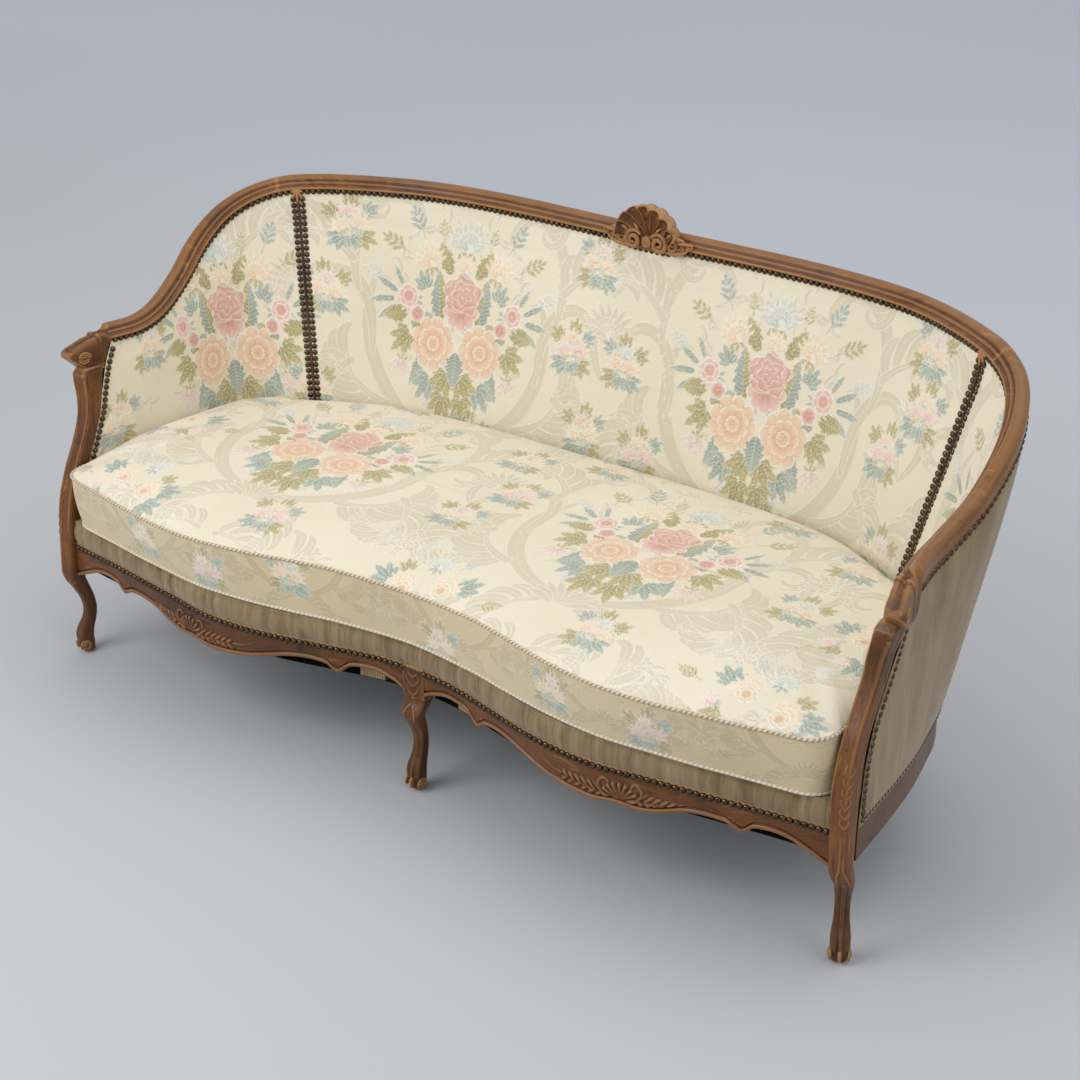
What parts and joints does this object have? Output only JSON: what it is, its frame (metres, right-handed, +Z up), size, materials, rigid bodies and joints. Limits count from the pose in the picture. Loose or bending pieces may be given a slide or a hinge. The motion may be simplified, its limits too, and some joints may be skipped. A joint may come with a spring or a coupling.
{
  "type": "cabriole sofa",
  "caption": "Carved show-wood cabriole sofa with serpentine front, scroll-footed legs, nailed brocade back and sides, and a loose boxed seat cushion.",
  "frame": {"origin": "middle of the footprint's box at floor level, under the glides", "axes": "-Y is the front the sitter faces, +X is the right side seen from the front, +Z is up"},
  "size_m": [1.8392, 0.8371, 0.9218],
  "materials": {
    "walnut": "walnut-stained carved hardwood, waxed, with lighter rubbed edges",
    "beech": "plain unfinished beech, hidden",
    "brocade": "cream and pale gold silk brocade with a damask ground and woven flower sprays",
    "brocade_cushion": "the same brocade, boxed and piped, over a foam and feather filling",
    "outer_velvet": "beige velvet, lightly worn",
    "deck_velvet": "worn olive and ochre velvet",
    "jute": "woven jute band",
    "burlap": "coarse jute cloth",
    "cambric": "thin black cotton",
    "spring_steel": "drawn spring wire",
    "glide_steel": "polished nailed glide"
  },
  "bodies": {
    "sofa_frame": {"crest_rail": "walnut", "crest_shell": "walnut", "arm_rail_left": "walnut", "arm_rail_right": "walnut", "front_post_left": "walnut", "front_post_right": "walnut", "rear_post_left": "walnut", "rear_post_right": "walnut", "centre_leg": "walnut", "front_rail_left": "walnut", "front_rail_right": "walnut", "side_rail_left": "walnut", "side_rail_right": "walnut", "back_rail": "beech", "cross_rail": "beech", "corner_blocks": "beech", "back_tack_rail": "beech", "side_tack_rail_left": "beech", "side_tack_rail_right": "beech", "back_burlap": "burlap", "side_burlap_left": "burlap", "side_burlap_right": "burlap", "back_pad": "brocade", "side_pad_left": "brocade", "side_pad_right": "brocade", "outer_back_cover": "outer_velvet", "outer_side_cover_left": "outer_velvet", "outer_side_cover_right": "outer_velvet", "seat_webbing": "jute", "seat_springs": "spring_steel", "seat_deck": "deck_velvet", "dust_cover": "cambric", "foot_glides": "glide_steel"},
    "cushion": {"seat_cushion": "brocade_cushion"}
  },
  "joints": [
    {"name": "cushion_lift", "type": "slide", "parent": "sofa_frame", "child": "cushion", "axis": [0, 0, 1], "range_m": [0, 0.3]}
  ]
}
